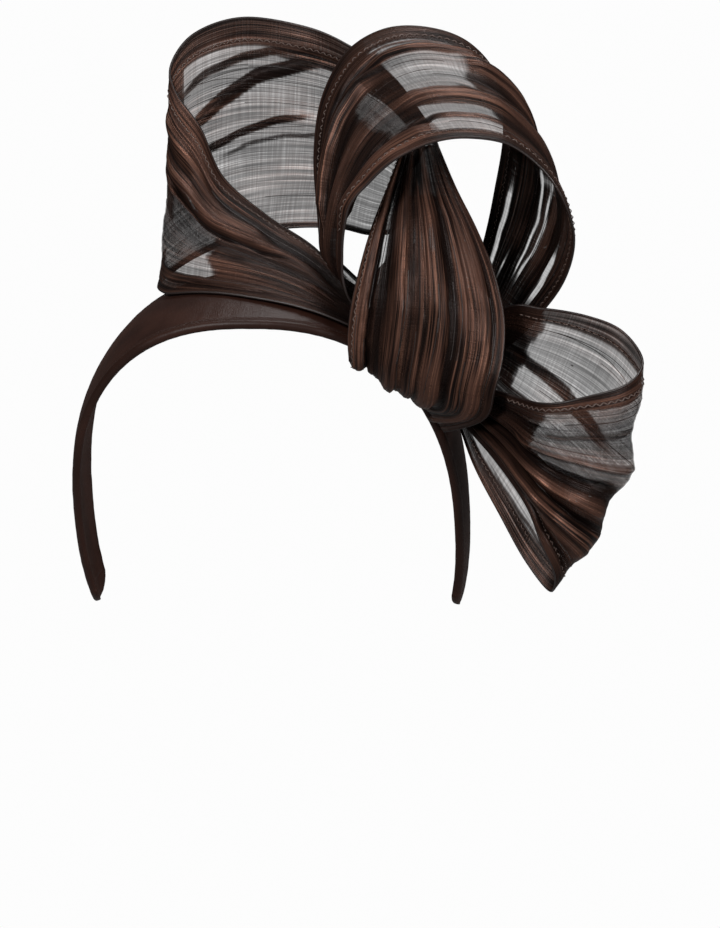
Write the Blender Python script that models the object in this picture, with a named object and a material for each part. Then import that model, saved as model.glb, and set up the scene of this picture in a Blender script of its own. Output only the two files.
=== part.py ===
"""A fascinator: satin headband with three loops of wide translucent ribbon and a gathered centre knot.

Metres, +Z up, +X to the wearer's left, -Y to the front. The origin is under the middle of the band's crown,
where the band sits on the head. Each piece is one closed body.
"""
import math
from collections import namedtuple

import bmesh
import bpy
import numpy as np

# Headband: a flat hoop, open at the bottom, that leans back from its crown, with a roll along its front edge
BAND_HALF_SPAN = 0.0785
BAND_HEIGHT = 0.0955
BAND_SQUARENESS = 0.85
BAND_ARM_ANGLE = math.radians(112.0)
BAND_CROWN_WIDTH = 0.048
BAND_TIP_WIDTH = 0.018
BAND_TAPER = 1.5
BAND_THICKNESS = 0.0025
BAND_ROLL_DIAMETER = 0.0034
BAND_CAMBER = 0.0024
BAND_TILT = math.radians(25.0)

# Ribbon: its full width, and the wall that stands for the gathered net
RIBBON_WIDTH = 0.100
RIBBON_THICKNESS = 0.0014

# Reach and rise of each loop from the middle of the knot's seat
LEFT_LOOP_REACH = 0.096
LEFT_LOOP_RISE = 0.128
ARCH_REACH = 0.064
ARCH_RISE = 0.128
SIDE_LOOP_REACH = 0.090
SIDE_LOOP_DROP = 0.093

# Knot: a strip that comes down from the narrow neck, over the roots and round the band
KNOT_ANGLE = math.radians(46.0)
KNOT_HALF_ARC = math.radians(19.5)
KNOT_WIDTH = 0.058
KNOT_DEPTH = 0.060
KNOT_RISE = 0.085
KNOT_BACK_LIFT = 0.008

# Clearances: between pieces that touch, and between the band and the knot's wrap
CLEARANCE = 0.0004
WRAP_STAND = 0.0007

# Mesh resolution
BAND_STATIONS = 44
BAND_FACE_STEPS = 5
ROLL_STEPS = 7
RIBBON_STEPS = 16
KNOT_STEPS = 14
STATION_PITCH = 0.0075

# A row across a ribbon: its two hems (across, back, up) as shares of the loop's reach, the ribbon's width
# and the loop's rise, then how far the middle bows out and how high the pleats stand, as shares of the width
Row = namedtuple("Row", "upper lower bow pleat")
# A flat row laid on the band: where each hem lies, as (turn from the knot's middle as a share of its half
# arc, place across the band as a share of its half width)
Foot = namedtuple("Foot", "upper lower bow pleat", defaults=(0.0, 0.0))

LEFT_LOOP_ROWS = [
    Foot((-0.90, 0.75), (-0.90, -0.75)),
    Foot((-1.30, 0.80), (-1.30, -0.72)),
    Row((-0.43, 0.21, 0.31), (-0.46, -0.22, 0.13), 0.02, 0.022),
    Row((-0.64, 0.29, 0.41), (-0.66, -0.17, 0.16), 0.02, 0.024),
    Row((-0.83, 0.35, 0.53), (-0.87, -0.08, 0.17), 0.01, 0.022),
    Row((-0.93, 0.40, 0.68), (-1.00, 0.01, 0.17), 0.00, 0.018),
    Row((-1.04, 0.45, 0.79), (-1.06, 0.13, 0.19), -0.01, 0.010),
    Row((-1.07, 0.50, 0.88), (-1.04, 0.22, 0.22), 0.00, 0.004),
    Row((-0.98, 0.55, 0.98), (-0.93, 0.29, 0.28), 0.02, 0.010),
    Row((-0.78, 0.58, 1.03), (-0.75, 0.34, 0.34), 0.05, 0.012),
    Row((-0.52, 0.57, 1.00), (-0.56, 0.36, 0.37), 0.05, 0.010),
    Row((-0.33, 0.49, 0.94), (-0.35, 0.34, 0.37), 0.04, 0.010),
    Row((-0.13, 0.35, 0.84), (-0.20, 0.27, 0.35), 0.02, 0.012),
    Row((0.02, 0.17, 0.71), (-0.08, 0.13, 0.38), 0.00, 0.010),
    Row((0.10, -0.02, 0.62), (-0.03, -0.02, 0.58), 0.00, 0.000),
]

ARCH_ROWS = [
    Foot((-0.28, -0.70), (-0.28, 0.62)),
    Row((-0.33, -0.29, 0.16), (-0.46, 0.02, 0.27), 0.00, 0.008),
    Row((-0.36, -0.35, 0.29), (-0.57, 0.11, 0.30), 0.02, 0.018),
    Row((-0.31, -0.41, 0.42), (-0.62, 0.20, 0.43), 0.01, 0.018),
    Row((-0.18, -0.44, 0.50), (-0.65, 0.25, 0.60), 0.01, 0.014),
    Row((-0.01, -0.46, 0.57), (-0.61, 0.29, 0.77), 0.01, 0.012),
    Row((0.22, -0.47, 0.62), (-0.46, 0.31, 0.91), 0.01, 0.010),
    Row((0.42, -0.47, 0.63), (-0.22, 0.32, 0.98), 0.01, 0.010),
    Row((0.64, -0.46, 0.61), (0.06, 0.32, 0.98), 0.01, 0.012),
    Row((0.83, -0.44, 0.54), (0.30, 0.31, 0.93), 0.02, 0.016),
    Row((0.95, -0.39, 0.45), (0.47, 0.29, 0.82), 0.03, 0.020),
    Row((1.00, -0.27, 0.34), (0.51, 0.27, 0.66), 0.04, 0.024),
    Row((0.94, -0.13, 0.23), (0.46, 0.24, 0.48), 0.04, 0.024),
    Row((0.80, -0.02, 0.13), (0.40, 0.21, 0.33), 0.02, 0.020),
    Row((0.55, 0.05, 0.01), (0.31, 0.17, 0.18), 0.01, 0.014),
    Foot((0.66, 0.72), (-0.10, 0.72)),
]

SIDE_LOOP_ROWS = [
    Foot((0.05, 0.15), (0.88, 0.20)),
    Row((0.40, -0.12, 0.18), (0.21, 0.04, -0.35), 0.01, 0.010),
    Row((0.57, -0.16, 0.18), (0.28, -0.07, -0.49), 0.02, 0.016),
    Row((0.76, -0.17, 0.15), (0.39, -0.15, -0.67), 0.03, 0.016),
    Row((0.91, -0.19, 0.09), (0.50, -0.20, -0.85), 0.06, 0.018),
    Row((1.00, -0.27, -0.03), (0.61, -0.27, -0.97), 0.10, 0.022),
    Row((0.94, -0.37, -0.12), (0.64, -0.35, -0.90), 0.07, 0.024),
    Row((0.78, -0.43, -0.17), (0.59, -0.40, -0.77), 0.05, 0.026),
    Row((0.61, -0.41, -0.20), (0.52, -0.36, -0.61), 0.03, 0.022),
    Row((0.44, -0.27, -0.17), (0.36, -0.21, -0.42), 0.00, 0.010),
    Foot((0.15, -0.35), (0.88, -0.30)),
]

# The knot's two hems run left and right. Its first row lies against the end of the left loop, at the neck,
# and its last ones come up behind the roots and tuck in under the neck.
KNOT_FRONT_ROWS = [
    Row((-0.06, -0.21, 0.87), (0.20, -0.21, 0.90), 0.03, 0.008),
    Row((-0.14, -0.34, 0.71), (0.32, -0.34, 0.73), 0.06, 0.012),
    Row((-0.22, -0.45, 0.55), (0.46, -0.41, 0.55), 0.09, 0.014),
    Row((-0.29, -0.51, 0.37), (0.58, -0.46, 0.36), 0.11, 0.014),
    Row((-0.34, -0.55, 0.21), (0.65, -0.49, 0.16), 0.12, 0.014),
    Row((-0.36, -0.55, 0.09), (0.65, -0.54, -0.01), 0.10, 0.012),
    Row((-0.36, -0.52, 0.01), (0.60, -0.56, -0.16), 0.07, 0.010),
    Row((-0.36, -0.48, -0.03), (0.51, -0.40, -0.30), 0.04, 0.006),
]
KNOT_BACK_ROWS = [
    Row((-0.21, 0.29, 0.41), (0.29, 0.46, 0.16), -0.01, 0.010),
    Row((-0.05, 0.14, 0.55), (0.26, 0.32, 0.39), -0.01, 0.008),
    Row((-0.02, -0.08, 0.70), (0.24, -0.03, 0.70), 0.00, 0.006),
]

LOOP_PLEATS = 3
KNOT_PLEATS = 4

# Plain finishes: colour and roughness
BAND_SATIN = ((0.040, 0.017, 0.013), 0.38)
LOOP_NET = ((0.052, 0.028, 0.022), 0.50)
KNOT_SILK = ((0.070, 0.036, 0.028), 0.45)


def clear_scene():
    """Empty the file of objects."""
    for obj in list(bpy.data.objects):
        bpy.data.objects.remove(obj)


def material(name, finish):
    """A plain Principled material of one colour and roughness."""
    colour, roughness = finish
    made = bpy.data.materials.new(name)
    made.use_nodes = True
    shader = made.node_tree.nodes["Principled BSDF"]
    shader.inputs["Base Color"].default_value = (*colour, 1.0)
    shader.inputs["Roughness"].default_value = roughness
    shader.inputs["Metallic"].default_value = 0.0
    return made


def power(value, exponent):
    """A power that keeps the sign."""
    return np.sign(value) * np.abs(value) ** exponent


def band_half_width(angle):
    """Half the band's width at an angle from its crown; it narrows towards the tips."""
    share = np.minimum(np.abs(angle) / BAND_ARM_ANGLE, 1) ** BAND_TAPER
    return (BAND_CROWN_WIDTH + (BAND_TIP_WIDTH - BAND_CROWN_WIDTH) * share) / 2


def tilt(points):
    """Lean points of the upright band back about the crown."""
    x, y, z = np.moveaxis(np.asarray(points, float), -1, 0)
    c, s = math.cos(BAND_TILT), math.sin(BAND_TILT)
    return np.stack([x, y * c - z * s, y * s + z * c], axis=-1)


def untilt(points):
    """Undo the band's lean."""
    x, y, z = np.moveaxis(np.asarray(points, float), -1, 0)
    c, s = math.cos(BAND_TILT), math.sin(BAND_TILT)
    return np.stack([x, y * c + z * s, z * c - y * s], axis=-1)


def band_point(angle, across, lift):
    """A point at an angle from the crown, a length across the band and a lift off its outer face.

    The outer face's crown stands one wall above the origin, which is on the crown's underside.
    """
    angle, across, lift = np.broadcast_arrays(angle, across, lift)
    s, c = np.sin(angle), np.cos(angle)
    out = np.stack([s / BAND_HALF_SPAN, c / BAND_HEIGHT], axis=-1)
    out = out / np.linalg.norm(out, axis=-1, keepdims=True)
    stand = lift - BAND_CAMBER * (across / band_half_width(angle)) ** 2
    x = BAND_HALF_SPAN * power(s, BAND_SQUARENESS) + stand * out[..., 0]
    z = BAND_HEIGHT * (power(c, BAND_SQUARENESS) - 1) + BAND_THICKNESS + stand * out[..., 1]
    return tilt(np.stack([x, across, z], axis=-1))


def clear_of_band(points, stand):
    """Push points that would cut into the band's outer face out to a stand above it."""
    centre_z = BAND_THICKNESS - BAND_HEIGHT
    x, y, z = np.moveaxis(untilt(points), -1, 0)
    z = z - centre_z
    exponent = 2 / BAND_SQUARENESS
    scale = (np.abs(x) / BAND_HALF_SPAN) ** exponent + (np.abs(z) / BAND_HEIGHT) ** exponent
    scale = np.maximum(scale ** (BAND_SQUARENESS / 2), 1e-6)
    radius = np.maximum(np.hypot(x, z), 1e-6)
    angle = np.arctan2(x / BAND_HALF_SPAN, z / BAND_HEIGHT)
    over = np.abs(y) / band_half_width(angle)
    beyond = np.clip((over - 1.1) * 4, 0, 1)
    needed = radius / scale + stand - beyond * BAND_HALF_SPAN
    grow = np.maximum(needed / radius, 1)
    return tilt(np.stack([x * grow, y, z * grow + centre_z], axis=-1))


def row_points(row, steps, sizes):
    """Points across a ribbon, from one hem to the other: laid on the band, or straight from hem to hem.

    A free row's hems are measured from the knot's seat, in shares of the sizes (reach, depth, rise).
    """
    share = np.linspace(0, 1, steps + 1)[:, None]
    upper, lower = np.array(row.upper), np.array(row.lower)
    points = upper + (lower - upper) * share
    if isinstance(row, Foot):
        angle = KNOT_ANGLE + KNOT_HALF_ARC * points[:, 0]
        return band_point(angle, points[:, 1] * band_half_width(angle), CLEARANCE + RIBBON_THICKNESS / 2)
    return band_point(KNOT_ANGLE, 0.0, 0.0) + points * np.array(sizes)


def smooth(values, places):
    """Catmull-Rom curve through evenly numbered values, read at the given places."""
    values = np.asarray(values, float)
    last = len(values) - 1
    ends = np.concatenate([2 * values[:1] - values[1:2], values, 2 * values[-1:] - values[-2:-1]])
    result = []
    for place in places:
        start = min(int(place), last - 1)
        t = place - start
        a, b, c, d = ends[start : start + 4]
        result.append(b + 0.5 * t * (c - a + t * (2 * a - 5 * b + 4 * c - d + t * (3 * (b - c) + d - a))))
    return np.array(result)


def stations(rows):
    """Places along a ribbon: each row, and between two rows as many as their distance asks for."""
    middle = np.array([row.mean(axis=0) for row in rows])
    places = [0.0]
    for i, length in enumerate(np.linalg.norm(np.diff(middle, axis=0), axis=1)):
        steps = max(1, round(length / STATION_PITCH))
        places += [i + (k + 1) / steps for k in range(steps)]
    return places


def normals(grid):
    """Unit normals of a grid of points, on the ribbon's outer side."""
    out = np.cross(np.gradient(grid, axis=0), np.gradient(grid, axis=1))
    return out / np.maximum(np.linalg.norm(out, axis=-1, keepdims=True), 1e-9)


def ribbon_grid(rows, bows, pleats, pleat_count):
    """The mid surface of a ribbon: rows joined smoothly, bowed out and thrown into lengthwise pleats."""
    places = stations(rows)
    grid = smooth(rows, places)
    bow = smooth(bows, places)[:, None] * RIBBON_WIDTH
    pleat = smooth(pleats, places)[:, None] * RIBBON_WIDTH
    share = np.linspace(0, 1, grid.shape[1])[None, :]
    swell = np.sin(math.pi * share)
    rise = swell * (bow + pleat * np.sin(2 * math.pi * pleat_count * share))
    return grid + normals(grid) * rise[..., None]


def add_object(name, bm, finish):
    """Turn a bmesh into a smooth object with its own material."""
    mesh = bpy.data.meshes.new(name)
    bm.to_mesh(mesh)
    bm.free()
    mesh.materials.append(material(name + "_finish", finish))
    mesh.shade_smooth()
    obj = bpy.data.objects.new(name, mesh)
    bpy.context.collection.objects.link(obj)
    return obj


def cloth_wall(name, grid, finish):
    """A grid of points made a closed cloth wall."""
    bm = bmesh.new()
    verts = [[bm.verts.new(point) for point in row] for row in grid]
    for row, next_row in zip(verts, verts[1:]):
        for i in range(len(row) - 1):
            bm.faces.new((row[i], next_row[i], next_row[i + 1], row[i + 1]))
    obj = add_object(name, bm, finish)
    wall = obj.modifiers.new("wall", "SOLIDIFY")
    wall.thickness = RIBBON_THICKNESS
    wall.offset = 0.0
    return obj


def band_section(half_width):
    """The band's outline across, as (length across, lift): the front roll, the under face, the outer face."""
    radius = BAND_ROLL_DIAMETER / 2
    middle = -BAND_THICKNESS / 2
    join = math.asin(BAND_THICKNESS / BAND_ROLL_DIAMETER)
    centre = radius - half_width
    turns = np.linspace(join, 2 * math.pi - join, ROLL_STEPS + 1)
    roll = [(centre + radius * math.cos(turn), middle + radius * math.sin(turn)) for turn in turns]
    back = half_width - BAND_THICKNESS / 2
    faces = np.linspace(roll[0][0], back, BAND_FACE_STEPS + 1)[1:]
    under = [(across, -BAND_THICKNESS) for across in faces]
    outer = [(across, 0.0) for across in reversed(faces)]
    return roll + under + [(half_width, middle)] + outer


def headband():
    """The satin band: its section swept round the hoop."""
    bm = bmesh.new()
    rings = []
    for angle in np.linspace(-BAND_ARM_ANGLE, BAND_ARM_ANGLE, BAND_STATIONS + 1):
        section = band_section(band_half_width(angle))
        rings.append([bm.verts.new(band_point(angle, across, lift)) for across, lift in section])
    for ring, next_ring in zip(rings, rings[1:]):
        for i, vert in enumerate(ring):
            j = (i + 1) % len(ring)
            bm.faces.new((vert, next_ring[i], next_ring[j], ring[j]))
    bm.faces.new(reversed(rings[0]))
    bm.faces.new(rings[-1])
    bmesh.ops.recalc_face_normals(bm, faces=bm.faces)
    return add_object("headband", bm, BAND_SATIN)


def loop(name, table, reach, rise):
    """One ribbon loop, through the rows of its table."""
    rows = [row_points(row, RIBBON_STEPS, (reach, RIBBON_WIDTH, rise)) for row in table]
    grid = ribbon_grid(rows, [row.bow for row in table], [row.pleat for row in table], LOOP_PLEATS)
    return cloth_wall(name, clear_of_band(grid, CLEARANCE + RIBBON_THICKNESS / 2), LOOP_NET)


def neck_row():
    """The knot's first row, which lies against the end of the left loop."""
    end = row_points(LEFT_LOOP_ROWS[-1], KNOT_STEPS, (LEFT_LOOP_REACH, RIBBON_WIDTH, LEFT_LOOP_RISE))
    return end[::-1] - np.array([0, CLEARANCE + RIBBON_THICKNESS / 2, 0])


def wrap_rows():
    """The knot's rows round the band: round its front roll, under it, round its back edge and up."""
    turn = KNOT_ANGLE + KNOT_HALF_ARC * np.linspace(-1, 1, KNOT_STEPS + 1)
    half_width = band_half_width(turn)
    middle = -BAND_THICKNESS / 2
    rows = []
    for side, radius, degrees in ((-1, BAND_ROLL_DIAMETER / 2, (0, 45, 90)), (1, BAND_THICKNESS / 2, (90, 45, 0))):
        path = radius + RIBBON_THICKNESS / 2 + WRAP_STAND
        for below in degrees:
            across = side * (half_width - radius + path * math.cos(math.radians(below)))
            rows.append(band_point(turn, across, middle - path * math.sin(math.radians(below))))
    rows.append(band_point(turn, half_width + WRAP_STAND, KNOT_BACK_LIFT))
    return rows


def centre_knot():
    """The strip from the neck down over the roots, round the band and up behind them."""
    sizes = (KNOT_WIDTH, KNOT_DEPTH, KNOT_RISE)
    front = [row_points(row, KNOT_STEPS, sizes) for row in KNOT_FRONT_ROWS]
    back = [row_points(row, KNOT_STEPS, sizes) for row in KNOT_BACK_ROWS]
    wrap = wrap_rows()
    flat = [0.0] * len(wrap)
    bows = [0.0] + [row.bow for row in KNOT_FRONT_ROWS] + flat + [row.bow for row in KNOT_BACK_ROWS]
    pleats = [0.0] + [row.pleat for row in KNOT_FRONT_ROWS] + flat + [row.pleat for row in KNOT_BACK_ROWS]
    grid = ribbon_grid([neck_row()] + front + wrap + back, bows, pleats, KNOT_PLEATS)
    return cloth_wall("centre_knot", grid, KNOT_SILK)


def main():
    """Build the five pieces."""
    clear_scene()
    headband()
    loop("left_loop", LEFT_LOOP_ROWS, LEFT_LOOP_REACH, LEFT_LOOP_RISE)
    loop("arch_loop", ARCH_ROWS, ARCH_REACH, ARCH_RISE)
    loop("side_loop", SIDE_LOOP_ROWS, SIDE_LOOP_REACH, SIDE_LOOP_DROP)
    centre_knot()


main()
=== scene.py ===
"""A fascinator on a satin headband: loops of wide, sheer ribbon round a gathered knot, dressed for rendering.

Metres, +Z up, -Y to the front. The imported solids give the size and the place; this script lays the fine cloth
over them, with its pleats, hems, stitches and threads, and finishes each surface.
"""
import logging
import math
from dataclasses import dataclass, field
from enum import Enum
from typing import NamedTuple

import bpy
import numpy as np
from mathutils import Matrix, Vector


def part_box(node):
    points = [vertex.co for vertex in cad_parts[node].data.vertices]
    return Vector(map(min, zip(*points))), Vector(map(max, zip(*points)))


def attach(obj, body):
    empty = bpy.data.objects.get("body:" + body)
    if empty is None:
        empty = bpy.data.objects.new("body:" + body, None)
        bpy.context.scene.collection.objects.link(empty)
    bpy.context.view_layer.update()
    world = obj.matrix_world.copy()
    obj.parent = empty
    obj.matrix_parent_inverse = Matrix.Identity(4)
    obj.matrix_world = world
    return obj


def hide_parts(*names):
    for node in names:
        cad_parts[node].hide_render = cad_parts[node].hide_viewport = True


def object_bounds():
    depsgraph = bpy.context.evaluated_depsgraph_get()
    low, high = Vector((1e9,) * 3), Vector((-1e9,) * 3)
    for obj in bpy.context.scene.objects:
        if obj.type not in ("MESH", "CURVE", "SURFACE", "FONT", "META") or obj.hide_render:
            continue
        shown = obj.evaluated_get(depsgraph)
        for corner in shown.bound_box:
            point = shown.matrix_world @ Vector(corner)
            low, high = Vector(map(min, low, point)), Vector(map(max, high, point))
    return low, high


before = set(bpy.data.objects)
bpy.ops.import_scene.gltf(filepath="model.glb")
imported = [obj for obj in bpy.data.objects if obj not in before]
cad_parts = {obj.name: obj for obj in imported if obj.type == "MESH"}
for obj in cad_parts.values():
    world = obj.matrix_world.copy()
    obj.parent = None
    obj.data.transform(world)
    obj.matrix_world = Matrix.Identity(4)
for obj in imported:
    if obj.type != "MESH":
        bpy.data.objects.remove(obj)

LOG = logging.getLogger("fascinator")
FRAME_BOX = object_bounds()
MILLIMETRE = 0.001

Number = float | int
Point = tuple[float, float, float]


class Tone(Enum):
    """Colours of the cloth, as linear red, green and blue."""

    THREAD_DARK = (0.0055, 0.0030, 0.0025)
    # The brown and the russet carry the net's painted sheen and painted highlight; the dark is the thread's own
    # colour.
    THREAD_BROWN_AND_PAINTED_SHEEN = (0.065, 0.031, 0.022)
    PAINTED_HIGHLIGHT_RUSSET = (0.250, 0.120, 0.080)
    # A lit and a shaded tone of the satin, mixed in random clouds as painted light and shade.
    SATIN_SHADE = (0.015, 0.0054, 0.0034)
    SATIN_LIGHT = (0.028, 0.0105, 0.0068)
    STITCH = (0.115, 0.074, 0.060)
    SLUB = (0.018, 0.010, 0.0085)
    PAPER = (0.28, 0.28, 0.28)

    @property
    def rgba(self) -> tuple[float, float, float, float]:
        """The colour with full alpha."""
        return (*self.value, 1.0)


# Shader and geometry nodes


class Value:
    """A node's number that takes part in arithmetic: each operation adds a Math node."""

    def __init__(self, graph: "Graph", socket: bpy.types.NodeSocket) -> None:
        """Wrap a socket of a graph."""
        self.graph = graph
        self.socket = socket

    def maths(self, operation: str, *others: "Value | Number") -> "Value":
        """Add a Math node.

        Args:
            operation: The node's operation.
            others: The numbers or values after this one.

        Returns:
            The node's result.
        """
        return self.graph.maths(operation, self, *others)

    def __add__(self, other: "Value | Number") -> "Value":
        """This plus other."""
        return self.maths("ADD", other)

    __radd__ = __add__

    def __mul__(self, other: "Value | Number") -> "Value":
        """This times other."""
        return self.maths("MULTIPLY", other)

    __rmul__ = __mul__

    def __sub__(self, other: "Value | Number") -> "Value":
        """This minus other."""
        return self.maths("SUBTRACT", other)

    def __rsub__(self, other: Number) -> "Value":
        """Other minus this."""
        return self.graph.maths("SUBTRACT", other, self)

    def __pow__(self, other: "Value | Number") -> "Value":
        """This to the power of other."""
        return self.maths("POWER", other)

    def __rpow__(self, other: Number) -> "Value":
        """Other to the power of this."""
        return self.graph.maths("POWER", other, self)

    def step(self, low: Number, high: Number) -> "Value":
        """A smooth step from 0 at low to 1 at high, which may be the lower of the two."""
        sockets = {"Value": self, "From Min": low, "From Max": high}
        node = self.graph.node("ShaderNodeMapRange", {"interpolation_type": "SMOOTHSTEP"}, sockets)
        return Value(self.graph, node.outputs["Result"])


class Graph:
    """A node tree with one method for every kind of node."""

    def __init__(self, tree: bpy.types.NodeTree) -> None:
        """Wrap a tree."""
        self.tree = tree

    def join(self, target: bpy.types.NodeSocket, value: object) -> None:
        """Link a value to a socket, or set the socket to it."""
        if isinstance(value, Value):
            value = value.socket
        if isinstance(value, bpy.types.NodeSocket):
            self.tree.links.new(value, target)
        else:
            target.default_value = value

    def node(self, kind: str, settings: dict | None = None, sockets: dict | None = None) -> bpy.types.Node:
        """Add a node.

        Args:
            kind: The node's type.
            settings: Its properties, which are set first.
            sockets: The values or links of its inputs, by name or number.

        Returns:
            The node.
        """
        made = self.tree.nodes.new(kind)
        for name, value in (settings or {}).items():
            setattr(made, name, value)
        for name, value in (sockets or {}).items():
            self.join(made.inputs[name], value)
        return made

    def maths(self, operation: str, *values: Value | Number) -> Value:
        """Add a Math node and return its result."""
        node = self.node("ShaderNodeMath", {"operation": operation}, dict(enumerate(values)))
        return Value(self, node.outputs["Value"])

    def mix(self, share: Value | Number, first: object, second: object) -> bpy.types.NodeSocket:
        """Mix two colours.

        Args:
            share: How much of the second colour shows.
            first: A colour or its socket.
            second: A colour or its socket.

        Returns:
            The mixed colour's socket.
        """
        node = self.node("ShaderNodeMix", {"data_type": "RGBA"}, {0: share, 6: first, 7: second})
        return node.outputs[2]

    def vector(self, x: Value | Number, y: Value | Number, z: Value | Number = 0.0) -> bpy.types.NodeSocket:
        """A vector of three numbers."""
        return self.node("ShaderNodeCombineXYZ", None, {"X": x, "Y": y, "Z": z}).outputs["Vector"]

    def noise(self, place: bpy.types.NodeSocket, scale: Number, detail: Number, rough: Number) -> Value:
        """A noise value, about 0.5 on average.

        Args:
            place: The coordinates.
            scale: Waves for each unit.
            detail: Octaves.
            rough: How strong the finer octaves are.

        Returns:
            The noise.
        """
        sockets = {"Vector": place, "Scale": scale, "Detail": detail, "Roughness": rough}
        return Value(self, self.node("ShaderNodeTexNoise", None, sockets).outputs["Fac"])


class Grain(NamedTuple):
    """A noise over the flat cloth.

    Attributes:
        along: Its waves to the metre along the cloth.
        across: Its waves to the metre across it.
        slice: The depth at which the noise is cut, which sets it apart from the others.
        detail: Its octaves.
        rough: How strong the finer octaves are.
    """

    along: float
    across: float
    slice: float = 0.0
    detail: float = 1.0
    rough: float = 0.5


FINE_WARP = Grain(24.0, 1900.0)
COARSE_WARP = Grain(12.0, 520.0, 3.0, 3.0, 0.65)
WEFT = Grain(1500.0, 40.0, 7.0)
CLOUD = Grain(26.0, 60.0, 11.0, 2.0)
GAPS = Grain(420.0, 900.0, 17.0)
FLOATS = Grain(2600.0, 420.0)
WEAR_AND_PAINTED_LIGHT = Grain(35.0, 60.0, 5.0, 3.0)
MIDDLE = 0.5  # a noise's usual value


class Finish:
    """A material under construction: its graph, its Principled shader and its output."""

    def __init__(self, name: str) -> None:
        """Start a material with an empty graph."""
        self.material = bpy.data.materials.new(name)
        self.material.use_nodes = True
        self.graph = Graph(self.material.node_tree)
        self.shader = self.material.node_tree.nodes["Principled BSDF"]

    def set(self, **sockets: object) -> None:
        """Set or link the shader's sockets; an underscore in a name stands for a space."""
        for name, value in sockets.items():
            self.graph.join(self.shader.inputs[name.replace("_", " ")], value)

    def bump(self, height: Value, distance: Number) -> None:
        """Raise the surface by a height, given as a share of distance in metres."""
        sockets = {"Height": height, "Distance": distance, "Strength": 1.0}
        node = self.graph.node("ShaderNodeBump", None, sockets)
        self.graph.join(self.shader.inputs["Normal"], node.outputs["Normal"])

    def cloth_place(self) -> tuple[Value, Value]:
        """The place on the flat cloth in metres: along the ribbon, and across it from its first hem."""
        place = self.graph.node("ShaderNodeUVMap", {"uv_map": CLOTH_MAP})
        parts = self.graph.node("ShaderNodeSeparateXYZ", None, {0: place.outputs["UV"]})
        return Value(self.graph, parts.outputs["X"]), Value(self.graph, parts.outputs["Y"])

    def grains(self, *grains: Grain) -> list[Value]:
        """The noises of some grains over the flat cloth."""
        along, across = self.cloth_place()
        places = [self.graph.vector(along * grain.along, across * grain.across, grain.slice) for grain in grains]
        return [self.graph.noise(place, 1.0, grain.detail, grain.rough) for place, grain in zip(places, grains)]

    def attribute(self, name: str) -> Value:
        """A number kept on the mesh's points."""
        node = self.graph.node("ShaderNodeAttribute", {"attribute_name": name})
        return Value(self.graph, node.outputs["Fac"])


CLOTH_MAP = "cloth"
LAYERS = "layers"
# Painted sheen and shade, kept on the points: high on ridges, low in creases and at the ribbons' ends.
PAINTED_SHEEN_AND_SHADE = "sheen"


@dataclass(frozen=True)
class NetFinish:
    """Sheer silk net: how open one layer is, how its threads lie and how they shine.

    Attributes:
        name: The material's name.
        open_share: The light that passes one layer.
        streak: How much the warp threads vary that light.
        gloss: How strongly the threads shine.
        roughness: The threads' roughness.
        specks: The light that passes the small gaps where layers lie on each other.
        contrast: How many times the light may double or halve between threads.
        widest: The most light that passes anywhere.
        slub_waves: The slubs to the metre along and across.
        relief: The height of the threads, in metres.
    """

    name: str
    open_share: float = 0.225
    streak: float = 0.75
    gloss: float = 0.75
    roughness: float = 0.36
    specks: float = 0.45
    contrast: float = 4.2
    widest: float = 0.72
    slub_waves: tuple[float, float] = (34.0, 48.0)
    relief: float = 0.35 * MILLIMETRE

    def material(self) -> bpy.types.Material:
        """Make the material.

        Returns:
            A net whose warp runs along the cloth, darker where layers lie on each other.
        """
        finish = Finish(self.name)
        graph = finish.graph
        along, across = finish.cloth_place()
        layers, sheen = finish.attribute(LAYERS), finish.attribute(PAINTED_SHEEN_AND_SHADE)
        fine, coarse, weft, cloud, gaps = finish.grains(FINE_WARP, COARSE_WARP, WEFT, CLOUD, GAPS)
        thread = (fine - MIDDLE) * 1.3 + (coarse - MIDDLE) * 1.1 + (weft - MIDDLE) * 0.5 + (cloud - MIDDLE) * 0.5
        opening = self.open_share * (2.0 ** (thread * (self.contrast * self.streak)))
        place = graph.vector(along * self.slub_waves[0], across * self.slub_waves[1])
        slubs = graph.node("ShaderNodeTexVoronoi", {"feature": "F1"}, {"Vector": place, "Scale": 1.0})
        slub = Value(graph, slubs.outputs["Distance"]).step(0.030, 0.018)
        opening = opening.maths("MINIMUM", self.widest) * (1.0 - slub * 0.95)
        # Light passes the cloth's front face and its back face, so each face stops half of what a layer stops.
        passed = opening ** (layers * 0.5)
        several = layers.step(1.4, 2.2) * layers.step(6.0, 5.0)
        gap = gaps.step(0.66, 0.74) * cloud.step(0.50, 0.62) * several
        finish.set(Alpha=1.0 - passed.maths("MAXIMUM", gap * self.specks))

        # Painted sheen: the brown tone follows random streaks, but it shows mostly where the painted sheen is
        # high, and hardly at all in creases and near the ribbons' ends, where shade is painted.
        brown_and_painted_sheen = (coarse * 0.55 + cloud * 0.55).step(0.44, 0.70) * (sheen * 1.35 + 0.03)
        glint = (fine * 0.5 + coarse * 0.5).step(0.47, 0.70)
        colour = graph.mix(brown_and_painted_sheen, Tone.THREAD_DARK.rgba, Tone.THREAD_BROWN_AND_PAINTED_SHEEN.rgba)
        # Painted highlight: a russet glint laid on where the painted sheen is high.
        colour = graph.mix(glint * sheen * 0.85, colour, Tone.PAINTED_HIGHLIGHT_RUSSET.rgba)
        finish.set(Base_Color=colour, Roughness=self.roughness + (fine - MIDDLE) * 0.25, Specular_IOR_Level=0.08)
        finish.set(Metallic=self.gloss * (0.35 + glint * 0.65))
        finish.bump(fine * 0.55 + coarse * 0.9 + weft * 0.25, self.relief)
        return finish.material


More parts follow.
